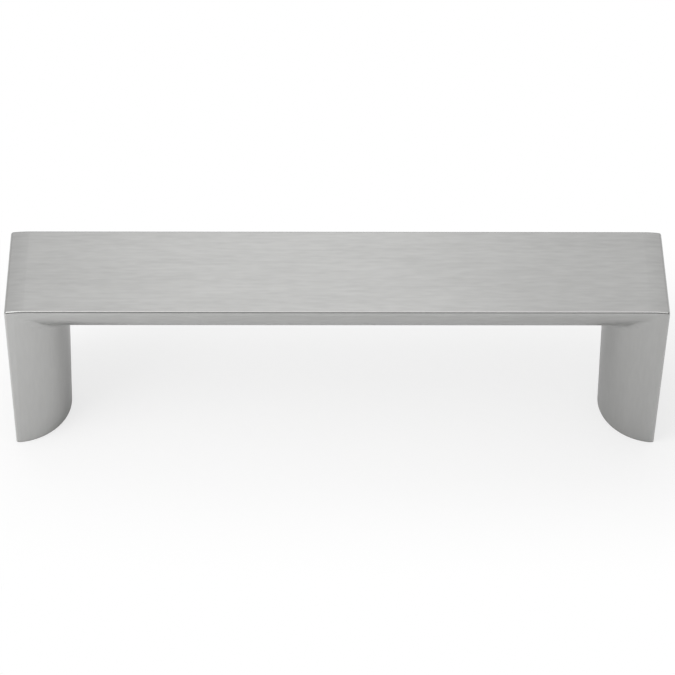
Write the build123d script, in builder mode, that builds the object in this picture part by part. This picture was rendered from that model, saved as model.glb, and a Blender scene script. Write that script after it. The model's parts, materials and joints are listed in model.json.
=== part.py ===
"""Rectangular cabinet pull: a flat-topped bar on two legs, cast in one piece and brushed.

X runs along the bar, Y across it and Z away from the drawer front.
The origin is midway between the two screw holes, in the plane that the feet bear on.
"""

import os
from math import radians, tan

from build123d import *

# Driving dimensions, in millimetres and degrees
screw_spacing = 96.0  # between the axes of the two tapped holes
screw_inset = 4.0  # from a hole's axis to the outer end face
width = 18.0  # across the flat outer face of the bar and of each leg
projection = 30.8  # from the drawer front to the top of the bar
bar_depth = 8.25  # of the bar's half-round section, at its thickest
foot_depth = 8.6  # of a leg's half-round section, at its foot
leg_draft = 2.0  # angle by which a leg thickens towards the bar
edge_land = 0.8  # straight side between a flat outer face and the round, at the least
side_lean = 6.0  # angle at which the round leaves that straight side, at the least
edge_round = 0.35  # along both long edges of the outer faces
corner_round = 0.45  # where the top turns down into an end face
roll_run = 3.0  # stretch at each end over which brushing has worn the top down
roll_drop = 0.25  # by which that stretch falls
crease_round = 1.5  # inside corner between the bar and a leg
foot_break = 0.1  # bevel around the sole of each foot
thread_diameter = 4.0  # over the thread's roots
thread_depth = 11.0
drill_diameter = 3.3
drill_run_out = 2.5  # drilled past the end of the thread
drill_point = 118.0  # angle of the drill's tip
mouth_bevel = 0.35  # at the mouth of each hole

# Sizes that follow from them
length = screw_spacing + 2 * screw_inset
shoulder_depth = foot_depth + projection * tan(radians(leg_draft))
fullest_round = width / 2 * tan(radians(45 - side_lean / 2))
roll_start = length / 2 - roll_run
thread_radius = thread_diameter / 2
drill_radius = drill_diameter / 2
drill_depth = thread_depth + drill_run_out
point_depth = drill_depth + drill_radius / tan(radians(drill_point / 2))


def half_round(plane, depth):
    """Section with its flat side on the plane's X axis, swelling towards the plane's Y.

    A section too deep for a round that leaves its sides at the lean has longer straight sides.
    """
    land = max(edge_land, depth - fullest_round)
    with BuildSketch(plane) as section:
        with BuildLine():
            Polyline((-width / 2, land), (-width / 2, 0), (width / 2, 0), (width / 2, land))
            ThreePointArc((width / 2, land), (0, depth), (-width / 2, land))
        make_face()
    return section.sketch


def is_crease(edge):
    """True for the edges in the inside corners, where the bar meets a leg."""
    middle = edge.center()
    in_gap = abs(middle.X) < length / 2 - edge_land and 0 < middle.Z < projection - edge_land
    return in_gap and abs(middle.Y) < edge_land


def is_long_edge(edge):
    """True for the edges between the flat outer faces and the sides of the pull."""
    on_side = abs(abs(edge.center().Y) - width / 2) < edge_round / 10
    on_top = edge.center().Z > projection - edge_land / 2
    on_end = abs(edge.center().X) > length / 2 - edge_land / 2
    return on_side and (on_top or on_end) and edge.center().Z > 0


with BuildPart() as pull_body:
    # The bar, flat side up
    bar_end = Plane(origin=(-length / 2, 0, projection), x_dir=(0, -1, 0), z_dir=(1, 0, 0))
    extrude(half_round(bar_end, bar_depth), amount=length)

    # The legs, flat side out, thickening from the foot to the bar
    for side in (-1, 1):
        foot = Plane(origin=(side * length / 2, 0, 0), x_dir=(0, side, 0), z_dir=(0, 0, 1))
        shoulder = foot.offset(projection)
        loft([half_round(foot, foot_depth), half_round(shoulder, shoulder_depth)], ruled=True)
    fillet(pull_body.edges().filter_by(is_crease), radius=crease_round)

    # The outline from the front: the top rolls off at both ends before it turns the corner
    with BuildSketch(Plane.XZ) as outline:
        with BuildLine():
            Line((-roll_start, projection), (roll_start, projection))
            for side in (-1, 1):
                TangentArc(
                    (side * roll_start, projection),
                    (side * length / 2, projection - roll_drop),
                    tangent=(side, 0),
                )
                Line((side * length / 2, projection - roll_drop), (side * length / 2, 0))
            Line((-length / 2, 0), (length / 2, 0))
        make_face()
        fillet(outline.vertices().group_by(Axis.Y)[-2], radius=corner_round)
    extrude(amount=width, both=True, mode=Mode.INTERSECT)
    fillet(pull_body.edges().filter_by(is_long_edge), radius=edge_round)
    chamfer(pull_body.faces().group_by(Axis.Z)[0].edges(), length=foot_break)

    # The tapped hole in the sole of each foot
    for side in (-1, 1):
        hole_axis = Axis((side * screw_spacing / 2, 0, 0), (0, 0, 1))
        with BuildSketch(Plane(hole_axis.position, x_dir=(1, 0, 0), z_dir=(0, -1, 0))):
            with BuildLine():
                Polyline(
                    (0, 0),
                    (thread_radius + mouth_bevel, 0),
                    (thread_radius, mouth_bevel),
                    (thread_radius, thread_depth),
                    (drill_radius, thread_depth),
                    (drill_radius, drill_depth),
                    (0, point_depth),
                    close=True,
                )
            make_face()
        revolve(axis=hole_axis, mode=Mode.SUBTRACT)

os.makedirs("parts", exist_ok=True)
pull_body.part.label = "pull_body"
export_step(pull_body.part, "parts/pull_body.step")
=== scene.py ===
# %% [markdown]
# # A brushed cabinet pull
#
# The real pull is one zinc casting: a flat-topped bar on two legs, half-round on its inner
# sides, plated with nickel and brushed to a satin sheen. Its solid comes from the CAD model,
# so this lesson leaves the shape alone. It adds what the solid lacks: the brushed finish, the
# threads in the screw holes, and the studio that the metal reflects. Blender starts with a few
# objects of its own, which are taken out first.

# %% Load the solid
import json
import math

import bmesh
import bpy
from mathutils import Matrix, Vector

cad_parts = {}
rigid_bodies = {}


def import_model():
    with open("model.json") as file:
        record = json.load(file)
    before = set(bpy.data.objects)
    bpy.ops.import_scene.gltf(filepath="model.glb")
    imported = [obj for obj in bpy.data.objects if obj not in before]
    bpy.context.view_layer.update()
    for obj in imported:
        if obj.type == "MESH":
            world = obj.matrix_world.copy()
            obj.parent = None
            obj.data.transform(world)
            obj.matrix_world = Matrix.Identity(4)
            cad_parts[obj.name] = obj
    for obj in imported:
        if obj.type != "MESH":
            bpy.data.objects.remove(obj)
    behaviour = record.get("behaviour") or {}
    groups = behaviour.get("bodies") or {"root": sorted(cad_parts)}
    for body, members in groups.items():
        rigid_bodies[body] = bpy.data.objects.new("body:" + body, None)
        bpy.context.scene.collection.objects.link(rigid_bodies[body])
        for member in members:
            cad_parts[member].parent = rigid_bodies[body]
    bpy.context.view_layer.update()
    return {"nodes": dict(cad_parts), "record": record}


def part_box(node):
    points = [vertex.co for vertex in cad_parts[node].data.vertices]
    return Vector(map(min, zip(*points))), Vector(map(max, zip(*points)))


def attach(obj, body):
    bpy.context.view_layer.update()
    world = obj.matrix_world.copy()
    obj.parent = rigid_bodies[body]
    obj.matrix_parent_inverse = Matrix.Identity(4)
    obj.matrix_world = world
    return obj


for leftover in list(bpy.data.objects):
    bpy.data.objects.remove(leftover)

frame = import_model()
pull = frame["nodes"]["pull_body"]
print("solid:", len(pull.data.polygons), "faces")

# %% [markdown]
# ## Sizes from the frame
#
# The finish, the threads and the floor need to know where the pull's faces and holes are. Those
# sizes could be typed in again, but then they would go wrong when the model changes. Here they
# are read from the solid's own box and from the record's screw holes. Blender works in metres.
# A millimetre gets a name, because a finish this fine is easier to think of in millimetres.

# %% Measure the pull
MM = 0.001
low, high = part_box("pull_body")
half_length = high.x
half_width = high.y
top = high.z
screw_mount = next(m for m in frame["record"]["mounts"] if m["name"] == "screw_holes")
hole_x = screw_mount["dims"]["spacing_x_mm"] / 2 * MM
thread_radius = screw_mount["dims"]["hole_r_mm"] * MM
print("length, width, height in mm:", [round(side / MM, 2) for side in high - low])

# %% [markdown]
# ## Writing shaders as sums
#
# A node tree can be wired by hand, one link at a time, but then its arithmetic is hard to read.
# Here a small class wraps a socket and gives it Python's operators, so that `1 - mask * 0.5`
# adds its Math nodes by itself.


# %% A socket with operators
class Wire:
    """A socket that a number, a vector or a shader comes out of."""

    def __init__(self, tree, socket):
        self.tree = tree
        self.socket = socket

    def math(self, operation, *values):
        return self.tree.node("ShaderNodeMath", {"operation": operation}, dict(enumerate(values)))

    def __add__(self, other):
        return self.math("ADD", self, other)

    def __sub__(self, other):
        return self.math("SUBTRACT", self, other)

    def __rsub__(self, other):
        return self.math("SUBTRACT", other, self)

    def __mul__(self, other):
        return self.math("MULTIPLY", self, other)

    def __abs__(self):
        return self.math("ABSOLUTE", self)

    def least(self, other):
        return self.math("MINIMUM", self, other)

    def most(self, other):
        return self.math("MAXIMUM", self, other)

    __radd__ = __add__
    __rmul__ = __mul__


print("a wire adds Math nodes for + - * abs, least and most")

# %% [markdown]
# ## One method for every other node
#
# The rest of a shader is nodes with settings and sockets, and each could take several lines of
# its own. Here one method makes any of them. It sets a node's settings first, because they can
# change which sockets the node has, and its sockets after. The nodes that come up often get a
# short name of their own.

# %% A tree that makes nodes
MIX_FACTOR, MIX_FIRST_COLOUR, MIX_SECOND_COLOUR, MIX_COLOUR_RESULT = 0, 6, 7, 2


class Shader:
    """The node tree of a material or of the world."""

    def __init__(self, owner):
        owner.use_nodes = True
        self.nodes = owner.node_tree.nodes
        self.links = owner.node_tree.links
        self.nodes.clear()

    def node(self, kind, settings=None, sockets=None, output=0):
        """A new node, as the wire from one of its outputs, or None if it has no output."""
        made = self.nodes.new(kind)
        for name, value in (settings or {}).items():
            setattr(made, name, value)
        for name, value in (sockets or {}).items():
            if isinstance(value, Wire):
                self.links.new(value.socket, made.inputs[name])
            else:
                made.inputs[name].default_value = value
        return Wire(self, made.outputs[output]) if len(made.outputs) else None

    def fade(self, value, start, end):
        """0 up to the start and 1 from the end on, with a soft step between them."""
        sockets = {"Value": value, "From Min": start, "From Max": end}
        return self.node("ShaderNodeMapRange", {"interpolation_type": "SMOOTHSTEP"}, sockets)

    def mix_colours(self, factor, first, second):
        sockets = {MIX_FACTOR: factor, MIX_FIRST_COLOUR: first, MIX_SECOND_COLOUR: second}
        return self.node("ShaderNodeMix", {"data_type": "RGBA"}, sockets, MIX_COLOUR_RESULT)

    def mix_shaders(self, factor, first, second):
        return self.node("ShaderNodeMixShader", {}, {0: factor, 1: first, 2: second})

    def split(self, vector):
        """The vector's x, y and z."""
        return [self.node("ShaderNodeSeparateXYZ", {}, {0: vector}, axis) for axis in range(3)]


print("a shader makes any node, and fades, mixes and splits by name")

# %% [markdown]
# ## Brush streaks
#
# A belt has drawn fine scratches along the bar and down the legs. They could be an anisotropic
# highlight, but that needs a tangent on every face, and it shows no single scratch. Here noise
# is stretched along the brushing at three scales: long hairlines, short marks, and broad bands
# where the belt pressed more or less.

# %% Brush streaks
X_AXIS, Z_AXIS = 0, 2
NOISE_MIDDLE = 0.5
# Length, width and detail of the streaks
HAIRLINES = (16 * MM, 0.3 * MM, 2.0)
SHORT_MARKS = (3 * MM, 0.5 * MM, 1.0)
BROAD_BANDS = (30 * MM, 3 * MM, 3.0)


def streaks(shader, place, along, sizes):
    """Noise around 0 in streaks of those sizes, drawn out along one axis."""
    length, width, detail = sizes
    stretch = [1 / width] * 3
    stretch[along] = 1 / length
    vector = shader.node("ShaderNodeVectorMath", {"operation": "MULTIPLY"}, {0: place, 1: stretch})
    sockets = {"Vector": vector, "Scale": 1.0, "Detail": detail}
    return shader.node("ShaderNodeTexNoise", {}, sockets) - NOISE_MIDDLE


def brushed(shader, place, on_leg, sizes):
    """Streaks along the bar, which give way to streaks down the leg."""
    along_bar = streaks(shader, place, X_AXIS, sizes)
    down_leg = streaks(shader, place, Z_AXIS, sizes)
    return along_bar + (down_leg - along_bar) * on_leg


for length, width, _ in (HAIRLINES, SHORT_MARKS, BROAD_BANDS):
    print("streaks in mm:", round(length / MM, 2), "by", round(width / MM, 2))

# %% [markdown]
# ## Where the finish changes
#
# The two directions of brushing meet on a mitre, a plane at 45 degrees through each end of the
# bar, as they do where a belt changes course at a corner. The belt also polishes the edges of
# the outer faces, and the soles stay duller than the rest. Each of these places could be a group
# of faces with its own material, but the seams between them would show. Here each is a soft mask
# from 0 to 1, worked out from how far a point is from the pull's outer faces.

# %% Finish masks
MITRE_BLUR = 0.15 * MM
POLISH_FROM_SIDE = (0.1 * MM, 0.5 * MM)
POLISH_FROM_FACE = (0.1 * MM, 0.4 * MM)
SOLE_RISE = (0.12 * MM, 0.32 * MM)


def finish_masks(shader, place):
    """How far a point belongs to a leg, to a polished edge and to a sole."""
    x, y, z = shader.split(place)
    from_top = top - z
    from_end = half_length - abs(x)
    from_side = half_width - abs(y)
    from_face = from_top.least(from_end)
    on_leg = shader.fade(from_top - from_end, -MITRE_BLUR, MITRE_BLUR)
    near_side = 1 - shader.fade(from_side, *POLISH_FROM_SIDE)
    near_face = 1 - shader.fade(from_face, *POLISH_FROM_FACE)
    on_sole = 1 - shader.fade(z, *SOLE_RISE)
    return on_leg, near_side * near_face, on_sole


print("mitre in mm: blurred over", round(2 * MITRE_BLUR / MM, 2))

# %% [markdown]
# ## Brushed nickel
#
# Satin nickel is a pale grey metal with a hint of warmth. A picture of brushed metal could be
# wrapped around the pull, but it would stretch at the rounds and show its own lighting. Here the
# shader is a plain metal: the streaks shift its colour between a lighter and a deeper nickel, and
# move its roughness and its bump a little. The real legs show less grain than the top, so the
# streaks are calmer there.

# %% Brushed nickel
NICKEL = (0.525, 0.525, 0.517, 1)
NICKEL_DEEP = (0.465, 0.465, 0.458, 1)
EDGE_POLISH = (0.6, 0.6, 0.592, 1)
SOLE_GREY = (0.3, 0.295, 0.285, 1)
# How far the streaks shift the colour
HAIRLINE_SHADE = 0.8
MARK_SHADE = 1.6
BAND_SHADE = 0.8
MIDDLE_TONE = 0.52
LEG_CALM = 0.6
EDGE_SHINE = 0.5
# Roughness, and what changes it
SATIN = 0.3
HAIRLINE_ROUGHNESS = 0.05
EDGE_SMOOTHING = 0.06
SOLE_ROUGHNESS = 0.15
GROOVE_STRENGTH = 0.12
GROOVE_DEPTH = 0.02 * MM


def make_nickel():
    material = bpy.data.materials.new("brushed_nickel")
    shader = Shader(material)
    place = shader.node("ShaderNodeTexCoord", output="Object")
    on_leg, at_edge, on_sole = finish_masks(shader, place)
    hairlines, marks, bands = (
        brushed(shader, place, on_leg, sizes) for sizes in (HAIRLINES, SHORT_MARKS, BROAD_BANDS)
    )
    grain = hairlines * HAIRLINE_SHADE + marks * MARK_SHADE
    tone = grain * (1 - on_leg * LEG_CALM) + bands * BAND_SHADE + MIDDLE_TONE
    colour = shader.mix_colours(tone, NICKEL_DEEP, NICKEL)
    colour = shader.mix_colours(at_edge * EDGE_SHINE, colour, EDGE_POLISH)
    colour = shader.mix_colours(on_sole, colour, SOLE_GREY)
    rough = SATIN + hairlines * HAIRLINE_ROUGHNESS
    rough = rough - at_edge * EDGE_SMOOTHING + on_sole * SOLE_ROUGHNESS
    grooves = {"Strength": GROOVE_STRENGTH, "Distance": GROOVE_DEPTH, "Height": hairlines}
    bump = shader.node("ShaderNodeBump", {}, grooves)
    sockets = {"Base Color": colour, "Metallic": 1.0, "Roughness": rough, "Normal": bump}
    metal = shader.node("ShaderNodeBsdfPrincipled", {}, sockets)
    shader.node("ShaderNodeOutputMaterial", {}, {"Surface": metal})
    return material


nickel = make_nickel()
pull.data.materials.clear()
pull.data.materials.append(nickel)
print("nickel nodes:", len(nickel.node_tree.nodes))

# %% [markdown]
# ## Threads
#
# Each foot is tapped for an M4 screw. The solid has a plain bore as wide as the thread's roots,
# so the thread here is a ridge that winds up that bore: a flattened V, swept along a helix.
# A screw modifier on a profile would do it too, but a loop over angles can also let the ridge
# fade out at both ends, as a tap leaves it.

# %% Thread profile
PITCH = 0.7 * MM
CREST_RADIUS = 1.65 * MM
CREST_HALF = 0.125 * PITCH
ROOT_HALF = 0.44 * PITCH
ROOT_SINK = 0.03 * MM
THREAD_START = 0.5 * MM
THREAD_END = 10.6 * MM


def thread_ring(centre_x, turns, swell):
    """Four points across the ridge, that many turns up the helix, from no swell to a full one."""
    angle = 2 * math.pi * turns
    height = THREAD_START + PITCH * turns
    root = thread_radius + ROOT_SINK
    crest = thread_radius - (thread_radius - CREST_RADIUS) * swell
    profile = ((root, -ROOT_HALF), (crest, -CREST_HALF), (crest, CREST_HALF), (root, ROOT_HALF))
    return [
        (centre_x + radius * math.cos(angle), radius * math.sin(angle), height + rise)
        for radius, rise in profile
    ]


print("thread in mm: pitch", round(PITCH / MM, 2), "crest radius", round(CREST_RADIUS / MM, 2))

# %% [markdown]
# ## Sweeping the ridge
#
# The rings of four points are joined into one closed strip, with a face at each end. The ridge
# swells over its first turn and fades over its last, and its roots sink a little into the wall
# of the bore, so that no gap shows. It has the nickel of the pull and rides on it.

# %% Threads
STEPS_A_TURN = 64


def make_thread(name, centre_x):
    """A helical ridge in the bore at that place."""
    steps = round((THREAD_END - THREAD_START) / PITCH * STEPS_A_TURN)
    mesh = bmesh.new()
    rings = []
    for step in range(steps + 1):
        swell = min(STEPS_A_TURN, step, steps - step) / STEPS_A_TURN
        points = thread_ring(centre_x, step / STEPS_A_TURN, swell)
        rings.append([mesh.verts.new(point) for point in points])
    for first, second in zip(rings, rings[1:]):
        for corner in range(len(first)):
            following = (corner + 1) % len(first)
            mesh.faces.new((first[corner], first[following], second[following], second[corner]))
    mesh.faces.new(rings[0])
    mesh.faces.new(reversed(rings[-1]))
    bmesh.ops.recalc_face_normals(mesh, faces=mesh.faces)
    data = bpy.data.meshes.new(name)
    mesh.to_mesh(data)
    mesh.free()
    thread = bpy.data.objects.new(name, data)
    bpy.context.scene.collection.objects.link(thread)
    data.materials.append(nickel)
    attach(thread, "root")
    return thread


for side, centre in (("left", -hole_x), ("right", hole_x)):
    thread = make_thread("thread_" + side, centre)
    print(thread.name, len(thread.data.polygons), "faces")

# %% [markdown]
# ## White sheet
#
# The pull stands on a sheet of white paper. A bright lamp on it would turn it white, but that lamp
# would light the pull too. Here the sheet is matt beside the pull and takes its shadow, under a
# veil of white that keeps the shadow faint. Further off it turns to pure white for the camera and
# for the metal's reflections, like a sheet that is lit on its own. It is clear from underneath,
# and where a sole all but touches it, so the soles and their holes can be looked at from below.

# %% White sheet
WHITE = (1, 1, 1, 1)
SHEET_COLOUR = (0.92, 0.92, 0.92, 1)
SHADOW_REACH = (2 * MM, 30 * MM)
MATT_REACH = (25 * MM, 120 * MM)
VEIL = 0.7
FLOOR_GAP = 0.03 * MM
TOUCH_REACH = (1.5 * FLOOR_GAP, 3 * FLOOR_GAP)


def make_sheet():
    material = bpy.data.materials.new("white_sheet")
    shader = Shader(material)
    x, y, _ = shader.split(shader.node("ShaderNodeTexCoord", output="Object"))
    distance = (abs(x) - half_length).most(abs(y) - half_width)
    past_shadow = shader.fade(distance, *SHADOW_REACH)
    past_matt = shader.fade(distance, *MATT_REACH)
    direct, mirrored, refracted = (
        shader.node("ShaderNodeLightPath", output="Is " + ray + " Ray")
        for ray in ("Camera", "Glossy", "Transmission")
    )
    seen_white = direct * (past_shadow * (1 - VEIL) + VEIL)
    white = seen_white + (mirrored + refracted) * past_matt
    matt = shader.node("ShaderNodeBsdfDiffuse", {}, {"Color": SHEET_COLOUR})
    glow = shader.node("ShaderNodeEmission", {}, {"Color": WHITE, "Strength": 1.0})
    paper = shader.mix_shaders(white, matt, glow)

    underneath = shader.node("ShaderNodeNewGeometry", output="Backfacing")
    ray_length = shader.node("ShaderNodeLightPath", output="Ray Length")
    touching = mirrored * (1 - shader.fade(ray_length, *TOUCH_REACH))
    clear = shader.node("ShaderNodeBsdfTransparent")
    surface = shader.mix_shaders(underneath.most(touching), paper, clear)
    shader.node("ShaderNodeOutputMaterial", {}, {"Surface": surface})
    return material


sheet = make_sheet()
print("sheet nodes:", len(sheet.node_tree.nodes))

# %% [markdown]
# ## Floor
#
# The sheet is much larger than the view, so that no edge shows. A curved backdrop would hide the
# horizon as well, but the camera looks down and never sees that far. The floor lies a hair below
# the soles, because two faces in one place would flicker.

# %% Floor
FLOOR_HALF = 1.5


def make_floor():
    data = bpy.data.meshes.new("floor")
    corners = [(-1, -1), (1, -1), (1, 1), (-1, 1)]
    places = [(a * FLOOR_HALF, b * FLOOR_HALF, -FLOOR_GAP) for a, b in corners]
    data.from_pydata(places, [], [(0, 1, 2, 3)])
    data.materials.append(sheet)
    floor = bpy.data.objects.new("floor", data)
    bpy.context.scene.collection.objects.link(floor)
    return floor


floor = make_floor()
print("floor:", round(floor.dimensions.x, 2), "m square")

# %% [markdown]
# ## Studio light
#
# Brushed metal is drawn by what it reflects, so the lamps are placed by their reflections. The
# flat top mirrors a tall soft panel behind the pull, which is narrower than the bar's reflection
# and so leaves both ends a little darker. The rounded front edge mirrors a strip overhead. The
# legs and the underside mirror the sheet, which two panels at the left light more on that side.
# The small one of these two lights the sheet but stays out of the metal's reflections, because
# its image would burn out one end of the top when the pull is seen from behind.


# %% Lamps
def make_panel(name, place, target, size, radiance, mirrored=True):
    """A rectangular soft light that faces the target, as bright as a surface of that radiance."""
    lamp = bpy.data.lights.new(name, "AREA")
    lamp.shape = "RECTANGLE"
    lamp.size, lamp.size_y = size
    lamp.energy = radiance * math.pi * size[0] * size[1]
    panel = bpy.data.objects.new(name, lamp)
    panel.location = place
    panel.rotation_euler = (Vector(target) - Vector(place)).to_track_quat("-Z", "Y").to_euler()
    panel.visible_camera = False
    panel.visible_glossy = mirrored
    bpy.context.scene.collection.objects.link(panel)
    print(name, round(lamp.energy, 3), "W")


middle = (0, 0, top)
make_panel(
    "back_panel",
    place=(-0.008, 0.26, 0.29),
    target=middle,
    size=(0.11, 0.24),
    radiance=0.38,
)
make_panel(
    "overhead_strip",
    place=(0.015, -0.04, 0.18),
    target=(0.015, -0.04, 0),
    size=(0.26, 0.08),
    radiance=0.72,
)
make_panel(
    "left_overhead",
    place=(-0.26, -0.1, 0.36),
    target=middle,
    size=(0.3, 0.3),
    radiance=1.5,
)
make_panel(
    "left_front",
    place=(-0.17, -0.08, 0.1),
    target=(-0.05, -0.03, 0),
    size=(0.1, 0.1),
    radiance=3.5,
    mirrored=False,
)

# %% [markdown]
# ## Room
#
# Around the lamps, the metal mirrors the walls of a plain grey room. They could be built as
# large panels, but a room of light does it with a few nodes. It is brighter overhead, and high at
# the back where the top face looks. It is also brighter low in both back corners, which the
# rounds at the two ends of the top mirror, so those ends don't turn into dark lines.

# %% Room
BLACK = (0, 0, 0, 1)
ROOM_LEVEL = 0.305
OVERHEAD_GLOW = 0.43
OVERHEAD_LEAN = 0.25
OVERHEAD_EDGE = (0.55, 0.95)
BACK_GLOW = 0.18
BACK_Y, BACK_Z = 0.682, 0.731
BACK_EDGE = (0.5, 1.0)
CORNER_GLOW = 0.4
CORNER_XY = 0.7
CORNER_EDGE = (0.75, 0.98)


def make_room():
    world = bpy.data.worlds.new("studio")
    bpy.context.scene.world = world
    shader = Shader(world)
    x, y, z = shader.split(shader.node("ShaderNodeTexCoord", output="Generated"))
    overhead = shader.fade(z + y * OVERHEAD_LEAN, *OVERHEAD_EDGE)
    behind = shader.fade(y * BACK_Y + z * BACK_Z, *BACK_EDGE)
    corners = shader.fade((abs(x) + y) * CORNER_XY, *CORNER_EDGE)
    level = overhead * OVERHEAD_GLOW + behind * BACK_GLOW + corners * CORNER_GLOW + ROOM_LEVEL
    dark, bright = (
        shader.node("ShaderNodeBackground", {}, {"Color": colour, "Strength": 1.0})
        for colour in (BLACK, WHITE)
    )
    light = shader.mix_shaders(level, dark, bright)
    shader.node("ShaderNodeOutputWorld", {}, {"Surface": light})
    return world


room = make_room()
print("room nodes:", len(room.node_tree.nodes))

# %% [markdown]
# ## Camera
#
# The photograph was taken from the front and well above, through a long lens, with a hint of
# roll. A camera could be turned by eye until the two pictures agree. Here its angles, distance
# and lens are numbers that were fitted to the pull's outline, so that the edges fall in place.

# %% Camera
FRAME_PIXELS = 675
FOCAL_PIXELS = 3062.2
SENSOR_WIDTH = 36
NEAREST = 0.01
FARTHEST = 10
AZIMUTH = math.radians(-1.205)
ELEVATION = math.radians(46.952)
ROLL = math.radians(0.922)
DISTANCE = 494.63 * MM
TARGET = Vector((0.23, 0, 15.463)) * MM


def make_camera():
    data = bpy.data.cameras.new("camera")
    data.sensor_width = SENSOR_WIDTH
    data.lens = SENSOR_WIDTH * FOCAL_PIXELS / FRAME_PIXELS
    data.clip_start = NEAREST
    data.clip_end = FARTHEST
    back = Vector((
        math.sin(AZIMUTH) * math.cos(ELEVATION),
        -math.cos(AZIMUTH) * math.cos(ELEVATION),
        math.sin(ELEVATION),
    ))
    right = Vector((math.cos(AZIMUTH), math.sin(AZIMUTH), 0))
    up = back.cross(right)
    turn = Matrix((right, up, back)).transposed() @ Matrix.Rotation(ROLL, 3, "Z")
    camera = bpy.data.objects.new("camera", data)
    camera.matrix_world = Matrix.Translation(TARGET + back * DISTANCE) @ turn.to_4x4()
    bpy.context.scene.collection.objects.link(camera)
    bpy.context.scene.camera = camera
    return camera


camera = make_camera()
bpy.context.scene.view_settings.view_transform = "Standard"
print("lens:", round(camera.data.lens, 2), "mm")
